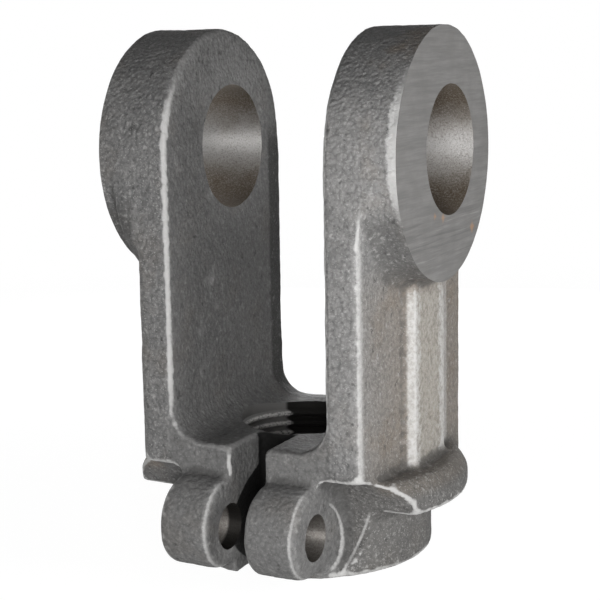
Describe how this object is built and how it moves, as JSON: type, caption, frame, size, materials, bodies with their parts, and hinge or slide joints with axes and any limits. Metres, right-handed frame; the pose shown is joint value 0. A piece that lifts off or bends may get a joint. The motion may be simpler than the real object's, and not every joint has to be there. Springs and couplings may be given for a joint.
{
  "type": "clevis rod end",
  "caption": "Clamp clevis for a rod end: a fork with a cross bore for a pin, over a threaded socket that is slit at the front and closed by a bolt through its ears.",
  "frame": {"origin": "where the axis of the threaded rod bore leaves the flat bottom of the socket", "axes": "+X along the cross pin, +Z from the rod towards the pin, the slit and the clamp ears face -Y"},
  "size_m": [0.069, 0.0633, 0.108],
  "materials": {
    "clevis_body": "rough as cast, with machined bores and pads"
  },
  "bodies": {
    "root": {"clevis_body": "clevis_body"}
  },
  "joints": []
}
